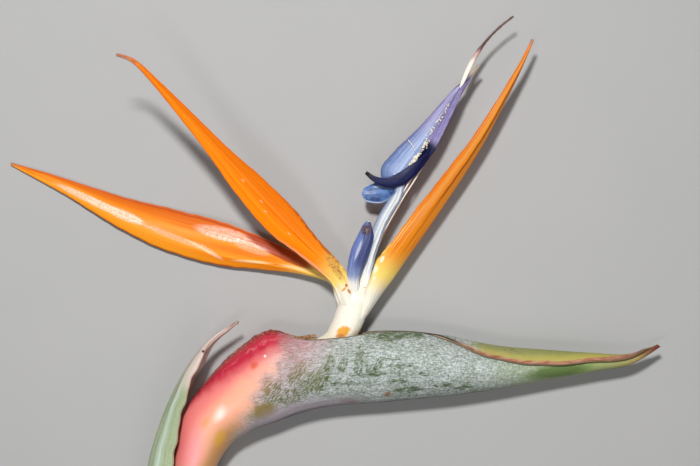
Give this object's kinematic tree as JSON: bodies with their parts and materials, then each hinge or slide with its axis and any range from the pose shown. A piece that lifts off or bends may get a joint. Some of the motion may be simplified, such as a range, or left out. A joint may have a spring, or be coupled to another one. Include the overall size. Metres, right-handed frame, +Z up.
{
  "type": "bird of paradise flower",
  "caption": "Cut bird of paradise flower lying on its side, with orange sepals and a blue arrow rising from a beak-shaped spathe on a short stalk.",
  "frame": {"origin": "the small flat spot on the spathe's far side that the flower rests on", "axes": "+Z up from the surface, towards the side of the flower that shows; +X along the beak; -Y down the stalk"},
  "size_m": [0.2231, 0.2465, 0.0394],
  "materials": {
    "stalk": "smooth waxy plant skin",
    "sheath_bract": "waxy green leaf with a dry tip",
    "spathe": "waxy plant skin with a pale bloom",
    "membrane": "dry thin membrane",
    "flower_base": "smooth fleshy white",
    "bud": "smooth fleshy pale orange",
    "sepal": "glossy waxy petal with fine lengthwise veins",
    "blue_petal": "satin petal",
    "dark_blue_petal": "satin petal",
    "style": "smooth thread",
    "pollen": "powdery"
  },
  "bodies": {
    "root": {"scape": "stalk", "sheath_bract": "sheath_bract", "spathe": "spathe", "flower_bract": "membrane", "flower_base": "flower_base", "bud_older": "bud", "bud_younger": "bud", "sepal_back_low": "sepal", "sepal_back_high": "sepal", "sepal_front": "sepal", "arrow_petal_wing": "blue_petal", "arrow_petal_trough": "dark_blue_petal", "nectary_petal": "dark_blue_petal", "style": "style", "stamens": "pollen"}
  },
  "joints": []
}
